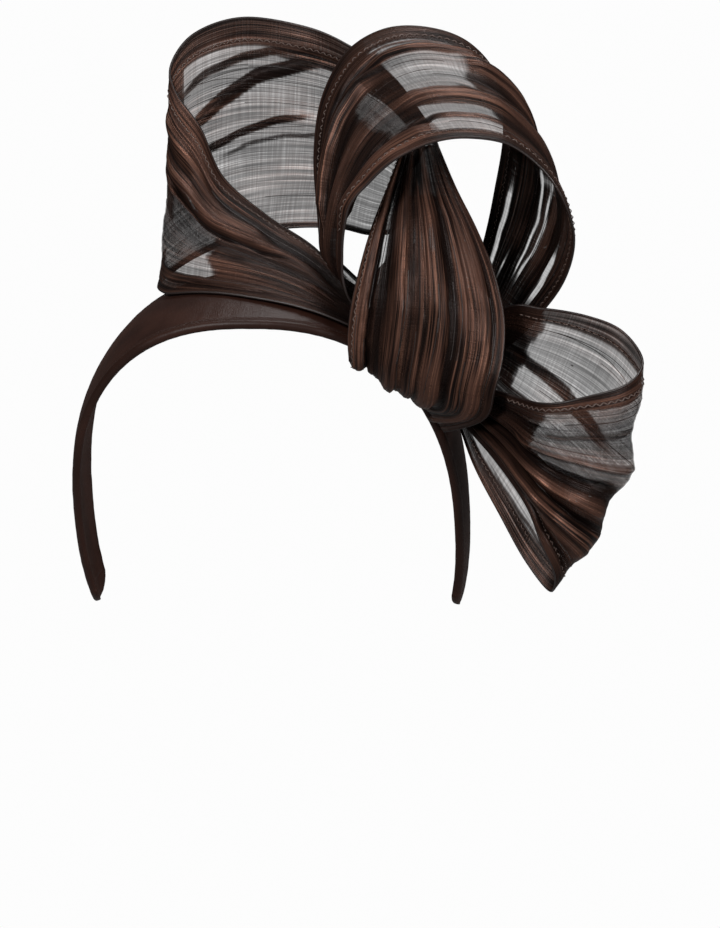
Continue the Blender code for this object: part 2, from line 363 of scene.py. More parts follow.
@dataclass(frozen=True)
class SatinFinish:
    """Duchess satin: a dense, softly shining cloth.

    Attributes:
        name: The material's name.
        roughness: Its roughness where it is taut.
        relief: The height of its floats and clouds, in metres.
        tint: The colour of its sheen.
    """

    name: str
    roughness: float = 0.42
    relief: float = 0.12 * MILLIMETRE
    tint: tuple[float, float, float, float] = (0.75, 0.45, 0.36, 1.0)

    def material(self) -> bpy.types.Material:
        """Make the material.

        Returns:
            A satin with fine floats across the band, worn clouds in its roughness and relief, and random clouds of
            a lit and a shaded tone, which are painted light and shade.
        """
        finish = Finish(self.name)
        floats, wear_and_painted_light = finish.grains(FLOATS, WEAR_AND_PAINTED_LIGHT)
        # Painted light and shade: random clouds of the lit and the shaded satin tone.
        colour = finish.graph.mix(wear_and_painted_light.step(0.30, 0.75), Tone.SATIN_SHADE.rgba, Tone.SATIN_LIGHT.rgba)
        finish.set(Base_Color=colour, Roughness=self.roughness + (wear_and_painted_light - MIDDLE) * 0.12 + (floats - MIDDLE) * 0.08)
        finish.set(Specular_IOR_Level=0.18, Sheen_Weight=0.03, Sheen_Roughness=0.40, Sheen_Tint=self.tint)
        finish.bump(floats * 0.6 + wear_and_painted_light * 0.8, self.relief)
        return finish.material


@dataclass(frozen=True)
class ThreadFinish:
    """Plain silk thread for stitches and slubs.

    Attributes:
        name: The material's name.
        tone: Its colour.
        roughness: Its roughness.
        twists: Its waves to the metre.
        relief: The height of its twist, in metres.
    """

    name: str
    tone: Tone
    roughness: float = 0.45
    twists: float = 1800.0
    relief: float = 0.08 * MILLIMETRE

    def material(self) -> bpy.types.Material:
        """Make the material.

        Returns:
            A thread with a fine uneven twist.
        """
        finish = Finish(self.name)
        graph = finish.graph
        place = graph.node("ShaderNodeTexCoord").outputs["Object"]
        twist = graph.noise(place, self.twists, 2.0, 0.5)
        finish.set(Base_Color=graph.mix(twist * 0.6, self.tone.rgba, Tone.THREAD_DARK.rgba))
        finish.set(Roughness=self.roughness + (twist - MIDDLE) * 0.2)
        finish.bump(twist, self.relief)
        return finish.material


# Shapes


def power(value: np.ndarray, exponent: float) -> np.ndarray:
    """A power that keeps the sign."""
    return np.sign(value) * np.abs(value) ** exponent


def smooth(values: np.ndarray, places: np.ndarray) -> np.ndarray:
    """Catmull-Rom curve through evenly numbered values.

    Args:
        values: The values, numbered from 0 along their first axis.
        places: Where to read the curve.

    Returns:
        The values there.
    """
    values = np.asarray(values, float)
    last = len(values) - 1
    ends = np.concatenate([2 * values[:1] - values[1:2], values, 2 * values[-1:] - values[-2:-1]])
    start = np.minimum(places.astype(int), last - 1)
    t = (places - start).reshape((-1,) + (1,) * (values.ndim - 1))
    a, b, c, d = (ends[start + k] for k in range(4))
    return b + 0.5 * t * (c - a + t * (2 * a - 5 * b + 4 * c - d + t * (3 * (b - c) + d - a)))


def unit(vectors: np.ndarray) -> np.ndarray:
    """Vectors scaled to a length of one."""
    return vectors / np.maximum(np.linalg.norm(vectors, axis=-1, keepdims=True), 1e-9)


def bell(distance: np.ndarray) -> np.ndarray:
    """A round bump, 1 at 0 and near 0 past 1.5."""
    return np.exp(-(distance**2) * 2)


def ripple(shape: tuple[int, int], cycles: Number, drift: Number, seed: int) -> np.ndarray:
    """Uneven lengthwise ripples over a grid, from -1 to 1.

    Args:
        shape: The grid's rows along the ribbon and its columns across it.
        cycles: The ripples across the ribbon, about.
        drift: How much they wander sideways along it, in ripples.
        seed: What picks their phases.

    Returns:
        One height for each point.
    """
    random = np.random.default_rng(seed)
    along = np.linspace(0, 1, shape[0])[:, None]
    across = np.linspace(0, 1, shape[1])[None, :]
    total = np.zeros(shape)
    for octave in (0.55, 0.8, 1.0, 1.35, 1.9):
        phase, swing, turn = random.uniform(0, 2 * math.pi, 3)
        wander = drift * np.sin(2 * math.pi * (1 + octave) * along + swing)
        fade = 0.6 + 0.4 * np.sin(2 * math.pi * 2.3 * octave * along + turn)
        total += fade * np.sin(2 * math.pi * cycles * octave * across + wander + phase) / (1 + octave)
    return total / 2.0


def placed(name: str, data: bpy.types.ID) -> bpy.types.Object:
    """A new object at the scene's origin."""
    obj = bpy.data.objects.new(name, data)
    bpy.context.scene.collection.objects.link(obj)
    return obj


def closed_wall(
    name: str, grid: np.ndarray, thickness: np.ndarray, lengths: tuple[np.ndarray, np.ndarray]
) -> bpy.types.Object:
    """Make a closed sheet of cloth from a grid of points.

    Args:
        name: The object's name.
        grid: The cloth's middle surface, rows along the ribbon and columns across it.
        thickness: The cloth's thickness at each point.
        lengths: The place of each point on the flat cloth, along and across.

    Returns:
        The object, with its cloth map.
    """
    out = surface_normals(grid)
    rows, columns = grid.shape[:2]
    half = thickness[..., None] / 2
    points = np.concatenate([(grid + out * half).reshape(-1, 3), (grid - out * half).reshape(-1, 3)])
    number = np.arange(rows * columns).reshape(rows, columns)
    front = np.stack([number[:-1, :-1], number[1:, :-1], number[1:, 1:], number[:-1, 1:]], -1).reshape(-1, 4)
    back = front[:, ::-1] + rows * columns
    border = np.concatenate([number[0, :-1], number[:-1, -1], number[-1, :0:-1], number[:0:-1, 0]])
    after = np.roll(border, -1)
    rim = np.stack([border, after, after + rows * columns, border + rows * columns], -1)
    faces = np.concatenate([front, back, rim])
    mesh = bpy.data.meshes.new(name)
    mesh.from_pydata(points.tolist(), [], faces.tolist())
    flat = np.stack([np.concatenate([part.ravel()] * 2) for part in lengths], -1)
    layer = mesh.uv_layers.new(name=CLOTH_MAP)
    layer.data.foreach_set("uv", flat[faces.ravel()].astype(np.float32).ravel())
    mesh.shade_smooth()
    return placed(name, mesh)


def surface_normals(grid: np.ndarray) -> np.ndarray:
    """Unit normals of a grid of points."""
    return unit(np.cross(np.gradient(grid, axis=0), np.gradient(grid, axis=1)))


def grid_area(grid: np.ndarray) -> float:
    """The area of a grid of points."""
    first = np.cross(grid[1:, :-1] - grid[:-1, :-1], grid[:-1, 1:] - grid[:-1, :-1])
    second = np.cross(grid[1:, :-1] - grid[1:, 1:], grid[:-1, 1:] - grid[1:, 1:])
    return float(sum(np.linalg.norm(part, axis=-1).sum() for part in (first, second)) / 2)


def keep_number(obj: bpy.types.Object, name: str, values: np.ndarray) -> None:
    """Keep a number on each point of both faces of a closed wall."""
    kept = obj.data.attributes.new(name, "FLOAT", "POINT")
    kept.data.foreach_set("value", np.concatenate([values.ravel()] * 2).astype(np.float32))


def lines_object(name: str, lines: list[np.ndarray]) -> bpy.types.Object:
    """An object of bare edges along some lines."""
    points = np.concatenate(lines)
    edges, start = [], 0
    for line in lines:
        edges += [(start + i, start + i + 1) for i in range(len(line) - 1)]
        start += len(line)
    mesh = bpy.data.meshes.new(name)
    mesh.from_pydata(points.tolist(), edges, [])
    return placed(name, mesh)


class LineWork:
    """Geometry node trees that turn bare lines into threads or rows of stitches."""

    def __init__(self) -> None:
        """Build both trees."""
        self.thread_tree = self.threads()
        self.stitch_tree = self.stitches()

    @staticmethod
    def start(name: str, sizes: dict[str, float]) -> tuple[Graph, bpy.types.Node]:
        """Start a tree with lines, named sizes and a material as inputs.

        Args:
            name: The tree's name.
            sizes: The named sizes and their usual values.

        Returns:
            The graph and its input node.
        """
        tree = bpy.data.node_groups.new(name, "GeometryNodeTree")
        tree.interface.new_socket("Geometry", in_out="OUTPUT", socket_type="NodeSocketGeometry")
        tree.interface.new_socket("Lines", in_out="INPUT", socket_type="NodeSocketGeometry")
        for size, usual in sizes.items():
            socket = tree.interface.new_socket(size, in_out="INPUT", socket_type="NodeSocketFloat")
            socket.default_value = usual
        tree.interface.new_socket("Material", in_out="INPUT", socket_type="NodeSocketMaterial")
        graph = Graph(tree)
        return graph, graph.node("NodeGroupInput")

    @staticmethod
    def end(graph: Graph, given: bpy.types.Node, geometry: bpy.types.NodeSocket) -> bpy.types.NodeTree:
        """Realize a tree's instances, give them their material and send them out."""
        real = graph.node("GeometryNodeRealizeInstances", None, {"Geometry": geometry})
        soft = graph.node("GeometryNodeSetShadeSmooth", None, {"Geometry": real.outputs["Geometry"]})
        sockets = {"Geometry": soft.outputs["Geometry"], "Material": given.outputs["Material"]}
        dressed = graph.node("GeometryNodeSetMaterial", None, sockets)
        graph.node("NodeGroupOutput", None, {"Geometry": dressed.outputs["Geometry"]})
        return graph.tree

    def threads(self) -> bpy.types.NodeTree:
        """A tree that sweeps a small round section along each line."""
        graph, given = self.start("threads_along_lines", {"Radius": 0.2 * MILLIMETRE})
        curve = graph.node("GeometryNodeMeshToCurve", None, {"Mesh": given.outputs["Lines"]})
        sockets = {"Resolution": 5, "Radius": given.outputs["Radius"]}
        ring = graph.node("GeometryNodeCurvePrimitiveCircle", {"mode": "RADIUS"}, sockets)
        sockets = {"Curve": curve.outputs["Curve"], "Profile Curve": ring.outputs["Curve"], "Fill Caps": True}
        swept = graph.node("GeometryNodeCurveToMesh", None, sockets)
        return self.end(graph, given, swept.outputs["Mesh"])

    def stitches(self) -> bpy.types.NodeTree:
        """A tree that sets small stitches in a zigzag along each line."""
        lengths = {"Pitch": 1.5, "Length": 2.2, "Radius": 0.26}
        sizes = {name: length * MILLIMETRE for name, length in lengths.items()}
        graph, given = self.start("stitches_along_lines", {**sizes, "Slant": 0.6})
        curve = graph.node("GeometryNodeMeshToCurve", None, {"Mesh": given.outputs["Lines"]})
        sockets = {"Curve": curve.outputs["Curve"], "Length": given.outputs["Pitch"]}
        places = graph.node("GeometryNodeCurveToPoints", {"mode": "LENGTH"}, sockets)
        seed = graph.node("GeometryNodeMeshUVSphere", None, {"Segments": 6, "Rings": 4, "Radius": 1.0})
        radius = given.outputs["Radius"]
        size = graph.vector(radius, radius, graph.maths("MULTIPLY", given.outputs["Length"], 0.5))
        index = graph.node("GeometryNodeInputIndex")
        turn = (graph.maths("MODULO", index.outputs["Index"], 2.0) - 0.5) * 2.0
        turn = graph.maths("MULTIPLY", turn, given.outputs["Slant"])
        sockets = {"Rotation": places.outputs["Rotation"], "Rotate By": graph.vector(0.0, turn)}
        slant = graph.node("FunctionNodeRotateRotation", {"rotation_space": "LOCAL"}, sockets)
        sockets = {
            "Points": places.outputs["Points"],
            "Instance": seed.outputs["Mesh"],
            "Rotation": slant.outputs["Rotation"],
            "Scale": size,
        }
        sown = graph.node("GeometryNodeInstanceOnPoints", None, sockets)
        return self.end(graph, given, sown.outputs["Instances"])

    @staticmethod
    def grow(lines: bpy.types.Object, tree: bpy.types.NodeTree, sizes: dict[str, object]) -> bpy.types.Object:
        """Run a tree on an object of lines and keep the result as its plain mesh.

        Args:
            lines: The object of bare edges.
            tree: One of the two trees.
            sizes: The tree's inputs, by name.

        Returns:
            The same object, now with the finished mesh.
        """
        modifier = lines.modifiers.new("line_work", "NODES")
        modifier.node_group = tree
        for item in tree.interface.items_tree:
            if item.item_type == "SOCKET" and item.in_out == "INPUT" and item.name in sizes:
                modifier[item.identifier] = sizes[item.name]
        shown = lines.evaluated_get(bpy.context.evaluated_depsgraph_get())
        mesh = bpy.data.meshes.new_from_object(shown)
        lines.modifiers.remove(modifier)
        lines.data = mesh
        return lines


@dataclass(frozen=True)
class Hoop:
    """The headband's form: a flat hoop, open at the bottom, that leans back from its crown.

    Attributes:
        scale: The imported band's span over the drawn one.
        half_span: Half its width from side to side.
        height: From its centre to its crown.
        squareness: The power that rounds its outline, 1 for an ellipse.
        arm_angle: Where its arms end, from the crown.
        crown_width: The band's width at the crown.
        tip_width: Its width at the ends.
        taper: How late it narrows.
        thickness: Its thickness.
        roll: The diameter of the roll along its front edge.
        camber: How much its outer face is domed.
        tilt: How far it leans back.
    """

    scale: float
    half_span: float = 0.0785
    height: float = 0.0955
    squareness: float = 0.85
    arm_angle: float = math.radians(112.0)
    crown_width: float = 0.048
    tip_width: float = 0.018
    taper: float = 1.5
    thickness: float = 0.0025
    roll: float = 0.0034
    camber: float = 0.0024
    tilt: float = math.radians(25.0)

    @classmethod
    def packed(cls) -> "Hoop":
        """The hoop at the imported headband's size."""
        low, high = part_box("headband")
        return cls(scale=(high.x - low.x) / (2 * cls.half_span))

    def half_width(self, angle: np.ndarray) -> np.ndarray:
        """Half the band's width at an angle from its crown."""
        share = np.minimum(np.abs(angle) / self.arm_angle, 1) ** self.taper
        return (self.crown_width + (self.tip_width - self.crown_width) * share) / 2

    def lean(self, points: np.ndarray, turn: float) -> np.ndarray:
        """Points turned about the crown's X axis."""
        x, y, z = np.moveaxis(points, -1, 0)
        c, s = math.cos(turn), math.sin(turn)
        return np.stack([x, y * c - z * s, y * s + z * c], axis=-1)

    def point(self, angle: np.ndarray, across: np.ndarray, lift: np.ndarray) -> np.ndarray:
        """Points on the band.

        Args:
            angle: From the crown, in radians.
            across: A length across the band, to the back.
            lift: A length off the outer face.

        Returns:
            The points.
        """
        angle, across, lift = np.broadcast_arrays(angle, across, lift)
        s, c = np.sin(angle), np.cos(angle)
        out = unit(np.stack([s / self.half_span, c / self.height], axis=-1))
        stand = lift - self.camber * (across / self.half_width(angle)) ** 2
        x = self.half_span * power(s, self.squareness) + stand * out[..., 0]
        z = self.height * (power(c, self.squareness) - 1) + self.thickness + stand * out[..., 1]
        return self.lean(np.stack([x, across, z], axis=-1), self.tilt) * self.scale

    def clear(self, points: np.ndarray, stand: float) -> np.ndarray:
        """Points that would cut into the band's outer face, pushed out to a stand above it."""
        centre_z = self.thickness - self.height
        x, y, z = np.moveaxis(self.lean(points / self.scale, -self.tilt), -1, 0)
        z = z - centre_z
        exponent = 2 / self.squareness
        scale = (np.abs(x) / self.half_span) ** exponent + (np.abs(z) / self.height) ** exponent
        scale = np.maximum(scale ** (self.squareness / 2), 1e-6)
        radius = np.maximum(np.hypot(x, z), 1e-6)
        angle = np.arctan2(x / self.half_span, z / self.height)
        over = np.abs(y) / self.half_width(angle)
        beyond = np.clip((over - 1.1) * 4, 0, 1)
        grow = np.maximum((radius / scale + stand - beyond * self.half_span) / radius, 1)
        return self.lean(np.stack([x * grow, y, z * grow + centre_z], axis=-1), self.tilt) * self.scale


class Row(NamedTuple):
    """A row across a ribbon: its two hems, as shares of the loop's reach, its depth and its rise."""

    upper: Point
    lower: Point
    bow: float = 0.0
    pleat: float = 0.0


class Foot(NamedTuple):
    """A row laid on the band: each hem's turn from the knot and its place across the band, as shares."""

    upper: tuple[float, float]
    lower: tuple[float, float]
    bow: float = 0.0
    pleat: float = 0.0


class Fold(NamedTuple):
    """A lengthwise fold in a ribbon.

    Attributes:
        start: The row where it begins.
        stop: The row where it ends.
        first: Its place across at its start, as a share of the width.
        last: Its place across at its end.
        width: Its width, in millimetres.
        height: How far it stands off, in millimetres; less than 0 on the ribbon's inner side. It also raises the
            painted sheen on a ridge and paints shade in a crease.
        layers: The layers of net that it adds, or takes where the ribbon gapes.
        lap: How far it lies over on its second side, from 0, a round ridge, to 1, a step.
    """

    start: float
    stop: float
    first: float
    last: float
    width: float
    height: float
    layers: float = 1.0
    lap: float = 0.0


class Patch(NamedTuple):
    """A place where a ribbon has more or fewer layers than elsewhere.

    Attributes:
        row: The row at its middle.
        share: Its middle across, as a share of the width.
        rows: Half its extent along, in rows.
        shares: Half its extent across, as a share of the width.
        layers: The layers that it adds, or takes if less than 0.
    """

    row: float
    share: float
    rows: float
    shares: float
    layers: float


LEAST_SHEEN = 0.04
LEAST_LAYERS = 0.55  # where folds and patches take layers away


@dataclass
class Ribbon:
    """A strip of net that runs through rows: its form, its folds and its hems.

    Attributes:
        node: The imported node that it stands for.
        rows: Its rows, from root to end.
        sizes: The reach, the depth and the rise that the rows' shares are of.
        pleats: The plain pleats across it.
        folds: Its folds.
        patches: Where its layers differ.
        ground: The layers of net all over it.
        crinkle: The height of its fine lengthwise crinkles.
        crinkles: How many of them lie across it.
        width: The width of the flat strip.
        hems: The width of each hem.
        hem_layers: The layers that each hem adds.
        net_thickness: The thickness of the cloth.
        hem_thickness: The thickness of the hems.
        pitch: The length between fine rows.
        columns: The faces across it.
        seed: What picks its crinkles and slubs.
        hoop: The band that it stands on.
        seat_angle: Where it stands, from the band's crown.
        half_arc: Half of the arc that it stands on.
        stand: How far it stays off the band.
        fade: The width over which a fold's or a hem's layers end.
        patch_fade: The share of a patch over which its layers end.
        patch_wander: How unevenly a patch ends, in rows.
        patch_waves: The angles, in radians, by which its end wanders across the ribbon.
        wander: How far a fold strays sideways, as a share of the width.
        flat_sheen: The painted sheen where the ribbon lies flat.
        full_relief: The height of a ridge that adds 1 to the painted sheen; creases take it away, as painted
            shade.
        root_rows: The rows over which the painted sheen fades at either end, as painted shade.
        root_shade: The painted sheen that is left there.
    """

    node: str
    rows: tuple[Row | Foot, ...]
    sizes: Point
    pleats: int
    folds: tuple[Fold, ...] = ()
    patches: tuple[Patch, ...] = ()
    ground: float = 1.0
    crinkle: float = 0.25 * MILLIMETRE
    crinkles: float = 16.0
    width: float = 0.100
    hems: tuple[float, float] = (0.012, 0.012)
    hem_layers: tuple[float, float] = (2.5, 2.5)
    net_thickness: float = 0.35 * MILLIMETRE
    hem_thickness: float = 0.9 * MILLIMETRE
    pitch: float = 1.6 * MILLIMETRE
    columns: int = 170
    seed: int = 1
    hoop: Hoop = field(default_factory=Hoop.packed)
    seat_angle: float = math.radians(46.0)
    half_arc: float = math.radians(19.5)
    stand: float = 0.0011
    fade: float = 0.8 * MILLIMETRE
    patch_fade: float = 0.10
    patch_wander: float = 0.11
    patch_waves: tuple[float, float] = (9.0, 31.0)
    wander: float = 0.004
    flat_sheen: float = 0.45
    full_relief: float = 3.4 * MILLIMETRE
    root_rows: float = 3.2
    root_shade: float = 0.22

    def row_points(self, row: Row | Foot) -> np.ndarray:
        """Points across the ribbon at one row, from its first hem to its second."""
        share = np.linspace(0, 1, self.columns + 1)[:, None]
        upper, lower = np.array(row.upper), np.array(row.lower)
        points = upper + (lower - upper) * share
        if isinstance(row, Foot):
            angle = self.seat_angle + self.half_arc * points[:, 0]
            return self.hoop.point(angle, points[:, 1] * self.hoop.half_width(angle), self.stand)
        seat = self.hoop.point(self.seat_angle, 0.0, 0.0)
        return seat + points * np.array(self.sizes) * self.hoop.scale

    def all_rows(self) -> list[np.ndarray]:
        """The points of every row."""
        return [self.row_points(row) for row in self.rows]

    def bows(self) -> list[tuple[float, float]]:
        """The bow and the pleat height of every row."""
        return [(row.bow, row.pleat) for row in self.rows]

    def places(self, rows: list[np.ndarray]) -> np.ndarray:
        """Where the fine rows lie, as row numbers with a fraction, evenly spaced in length."""
        middle = smooth(np.array([row.mean(axis=0) for row in rows]), np.linspace(0, len(rows) - 1, 2000))
        run = np.concatenate([[0], np.cumsum(np.linalg.norm(np.diff(middle, axis=0), axis=1))])
        count = int(run[-1] / self.pitch)
        return np.interp(np.linspace(0, run[-1], count + 1), run, np.linspace(0, len(rows) - 1, 2000))

    def surface(self) -> tuple[np.ndarray, np.ndarray, np.ndarray]:
        """The ribbon's middle surface with its bow, pleats, folds and crinkles. It keeps the sheen, too.

        Returns:
            The grid of points, the row number of each fine row, and the layers at each point.
        """
        rows = self.all_rows()
        places = self.places(rows)
        grid = smooth(np.array(rows), places)
        across = np.linspace(0, 1, self.columns + 1)[None, :]
        swell = np.sin(math.pi * across)
        bow, pleat = (smooth(np.array(values), places)[:, None] * self.width for values in zip(*self.bows()))
        relief = swell * pleat * np.sin(2 * math.pi * self.pleats * across)
        layers = np.full(grid.shape[:2], self.ground)
        for fold in self.folds:
            added, lift = self.fold_form(fold, places, across)
            relief = relief + lift
            layers = layers + added
        for patch in self.patches:
            layers = layers + self.patch_form(patch, places, across)
        inside = np.ones(across.shape)
        for edge, hem, added in zip((across, 1 - across), self.hems, self.hem_layers):
            inside = inside * np.clip(edge * self.width / hem, 0, 1)
            covered = np.clip((hem - edge * self.width) / self.fade + 0.5, 0, 1)
            layers = np.maximum(layers, 1) * covered + layers * (1 - covered) + added * covered
        relief = relief + self.crinkle * inside * ripple(grid.shape[:2], self.crinkles, 1.4, self.seed)
        grid = grid + surface_normals(grid) * (swell * bow + relief)[..., None]
        # Painted shade towards both ends of the ribbon, and a painted sheen that rises on ridges and falls in
        # creases.
        from_ends = np.minimum(places / self.root_rows, (places[-1] - places) / self.root_rows)[:, None]
        lit = np.clip(from_ends, self.root_shade, 1)
        self.sheen = np.clip(self.flat_sheen + relief / self.full_relief, LEAST_SHEEN, 1) * lit
        return self.hoop.clear(grid, self.stand), places, np.maximum(layers, LEAST_LAYERS)

    def patch_form(self, patch: Patch, places: np.ndarray, across: np.ndarray) -> np.ndarray:
        """The layers that a patch adds, over the grid."""
        slow, quick = self.patch_waves
        uneven = np.sin(across * slow + patch.row * 3.0) + 0.5 * np.sin(across * quick + patch.row)
        near_row = np.abs(places[:, None] + self.patch_wander * uneven - patch.row) / patch.rows
        near = np.maximum(near_row, np.abs(across - patch.share) / patch.shares)
        return patch.layers * np.clip((1 - near) / self.patch_fade + 0.5, 0, 1)

    def fold_form(self, fold: Fold, places: np.ndarray, across: np.ndarray) -> tuple[np.ndarray, np.ndarray]:
        """The layers that a fold adds and its lift, over the grid."""
        span = fold.stop - fold.start
        along = np.clip((places - fold.start) / span, 0, 1)
        ease = np.clip(np.minimum(places - fold.start, fold.stop - places) * 1.8 + 0.1, 0, 1)[:, None]
        slow, quick = np.sin(places * 4.1 + fold.first * 37.0), np.sin(places * 9.3 + fold.width)
        wander = self.wander * slow + 0.6 * self.wander * quick
        centre = (fold.first + (fold.last - fold.first) * along + wander)[:, None]
        taper = 0.55 + 0.45 * ease
        half = fold.width * MILLIMETRE / 2 / self.width * taper
        distance = (across - centre) / half
        cover = np.clip((half * (1 - np.abs(distance))) * self.width / self.fade + 0.5, 0, 1)
        round_ridge = bell(distance * 0.75)
        step = np.clip((distance + 1.4) / 2.4, 0, 1) * np.clip((1.15 - distance) / 0.3, 0, 1)
        lift = fold.height * MILLIMETRE * ease * (round_ridge * (1 - fold.lap) + step * fold.lap)
        return fold.layers * ease * cover, lift

    def build(self, name: str, material: bpy.types.Material) -> bpy.types.Object:
        """Make the ribbon's closed cloth.

        Args:
            name: The piece's name.
            material: Its net.

        Returns:
            The piece.
        """
        grid, self.fine_rows, layers = self.surface()
        shape = grid.shape[:2]
        middle = grid[:, shape[1] // 2]
        along = np.concatenate([[0], np.cumsum(np.linalg.norm(np.diff(middle, axis=0), axis=1))])
        self.length = along[-1]
        across = np.linspace(0, 1, shape[1])[None, :] * self.width
        fold = np.zeros(across.shape)
        for edge, hem in zip((across, self.width - across), self.hems):
            fold = np.maximum(fold, np.clip((hem - edge) / self.fade + 0.5, 0, 1))
        thickness = self.net_thickness + (self.hem_thickness - self.net_thickness) * fold
        thickness = np.broadcast_to(thickness, shape)
        lengths = (np.broadcast_to(along[:, None], shape), np.broadcast_to(across, shape))
        obj = closed_wall(name, grid, thickness, lengths)
        keep_number(obj, LAYERS, layers)
        keep_number(obj, PAINTED_SHEEN_AND_SHADE, self.sheen)
        obj.data.materials.append(material)
        self.grid = grid
        self.out = surface_normals(grid)
        self.area = grid_area(grid)
        return obj

    def line(self, start: float, stop: float, share: float, lift: float, drift: float = 0.0) -> np.ndarray:
        """A line on the built cloth's front or back.

        Args:
            start: The row where it begins.
            stop: The row where it ends.
            share: Its place across, as a share of the width.
            lift: How far it stands off the cloth's middle surface, in metres.
            drift: How far it strays sideways by its end, as a share of the width.

        Returns:
            The line's points.
        """
        chosen = np.flatnonzero((self.fine_rows >= start) & (self.fine_rows <= stop))
        run = np.linspace(0, 1, len(chosen))
        across = np.clip(share + drift * run**2, 0.002, 0.998) * self.columns
        low = np.minimum(across.astype(int), self.columns - 1)
        part = (across - low)[:, None]
        grids = (self.grid, self.out)
        middle, out = (grid[chosen, low] * (1 - part) + grid[chosen, low + 1] * part for grid in grids)
        return middle + out * lift

    def slubs(self, count: int) -> list[np.ndarray]:
        """Thicker threads of uneven length that lie along the cloth.

        Args:
            count: How many.

        Returns:
            Their lines.
        """
        random = np.random.default_rng(self.seed + 50)
        last = self.fine_rows[-1]
        lines = []
        for _ in range(count):
            start = random.uniform(0.5, last - 2.5)
            stop = min(start + random.uniform(1.2, 4.0), last - 0.3)
            share, drift = random.uniform(0.05, 0.95), random.normal(0, 0.02)
            side = random.choice((-1.0, 1.0))
            lines.append(self.line(start, stop, share, side * self.net_thickness * 0.6, drift))
        return lines


LEFT_LOOP_ROWS = (
    Foot((-0.90, 0.75), (-0.90, -0.75)),
    Foot((-1.30, 0.80), (-1.30, -0.72)),
    Row((-0.43, 0.21, 0.31), (-0.46, -0.22, 0.13), 0.02, 0.022),
    Row((-0.64, 0.29, 0.41), (-0.66, -0.17, 0.16), 0.02, 0.024),
    Row((-0.83, 0.35, 0.53), (-0.87, -0.08, 0.17), 0.01, 0.022),
    Row((-0.93, 0.40, 0.68), (-1.00, 0.01, 0.17), 0.00, 0.018),
    Row((-1.04, 0.45, 0.79), (-1.06, 0.13, 0.19), -0.01, 0.010),
    Row((-1.07, 0.50, 0.88), (-1.04, 0.22, 0.22), 0.00, 0.004),
    Row((-0.98, 0.55, 0.98), (-0.93, 0.29, 0.28), 0.02, 0.010),
    Row((-0.78, 0.58, 1.03), (-0.75, 0.34, 0.34), 0.05, 0.012),
    Row((-0.52, 0.57, 1.00), (-0.56, 0.36, 0.37), 0.05, 0.010),
    Row((-0.33, 0.49, 0.94), (-0.35, 0.34, 0.37), 0.04, 0.010),
    Row((-0.13, 0.35, 0.84), (-0.20, 0.27, 0.35), 0.02, 0.012),
    Row((0.02, 0.17, 0.71), (-0.08, 0.13, 0.38), 0.00, 0.010),
    Row((0.10, -0.02, 0.62), (-0.03, -0.02, 0.58), 0.00, 0.000),
)

ARCH_ROWS = (
    Foot((-0.28, -0.70), (-0.28, 0.62)),
    Row((-0.33, -0.29, 0.16), (-0.46, 0.02, 0.27), 0.00, 0.008),
    Row((-0.36, -0.35, 0.29), (-0.57, 0.11, 0.30), 0.02, 0.018),
    Row((-0.31, -0.41, 0.42), (-0.62, 0.20, 0.43), 0.01, 0.018),
    Row((-0.18, -0.44, 0.50), (-0.65, 0.25, 0.60), 0.01, 0.014),
    Row((-0.01, -0.46, 0.57), (-0.61, 0.29, 0.77), 0.01, 0.012),
    Row((0.22, -0.47, 0.62), (-0.46, 0.31, 0.91), 0.01, 0.010),
    Row((0.42, -0.47, 0.63), (-0.22, 0.32, 0.98), 0.01, 0.010),
    Row((0.64, -0.46, 0.61), (0.06, 0.32, 0.98), 0.01, 0.012),
    Row((0.83, -0.44, 0.54), (0.30, 0.31, 0.93), 0.02, 0.016),
    Row((0.95, -0.39, 0.45), (0.47, 0.29, 0.82), 0.03, 0.020),
    Row((1.00, -0.27, 0.34), (0.51, 0.27, 0.66), 0.04, 0.024),
    Row((0.94, -0.13, 0.23), (0.46, 0.24, 0.48), 0.04, 0.024),
    Row((0.80, -0.02, 0.13), (0.40, 0.21, 0.33), 0.02, 0.020),
    Row((0.55, 0.05, 0.01), (0.31, 0.17, 0.18), 0.01, 0.014),
    Foot((0.66, 0.72), (-0.10, 0.72)),
)

SIDE_LOOP_ROWS = (
    Foot((0.05, 0.15), (0.88, 0.20)),
    Row((0.40, -0.12, 0.18), (0.21, 0.04, -0.35), 0.01, 0.010),
    Row((0.57, -0.16, 0.18), (0.28, -0.07, -0.49), 0.02, 0.016),
    Row((0.76, -0.17, 0.15), (0.39, -0.15, -0.67), 0.03, 0.016),
    Row((0.91, -0.19, 0.09), (0.50, -0.20, -0.85), 0.06, 0.018),
    Row((1.00, -0.27, -0.03), (0.61, -0.27, -0.97), 0.10, 0.022),
    Row((0.94, -0.37, -0.12), (0.64, -0.35, -0.90), 0.07, 0.024),
    Row((0.78, -0.43, -0.17), (0.59, -0.40, -0.77), 0.05, 0.026),
    Row((0.61, -0.41, -0.20), (0.52, -0.36, -0.61), 0.03, 0.022),
    Row((0.44, -0.27, -0.17), (0.36, -0.21, -0.42), 0.00, 0.010),
    Foot((0.15, -0.35), (0.88, -0.30)),
)

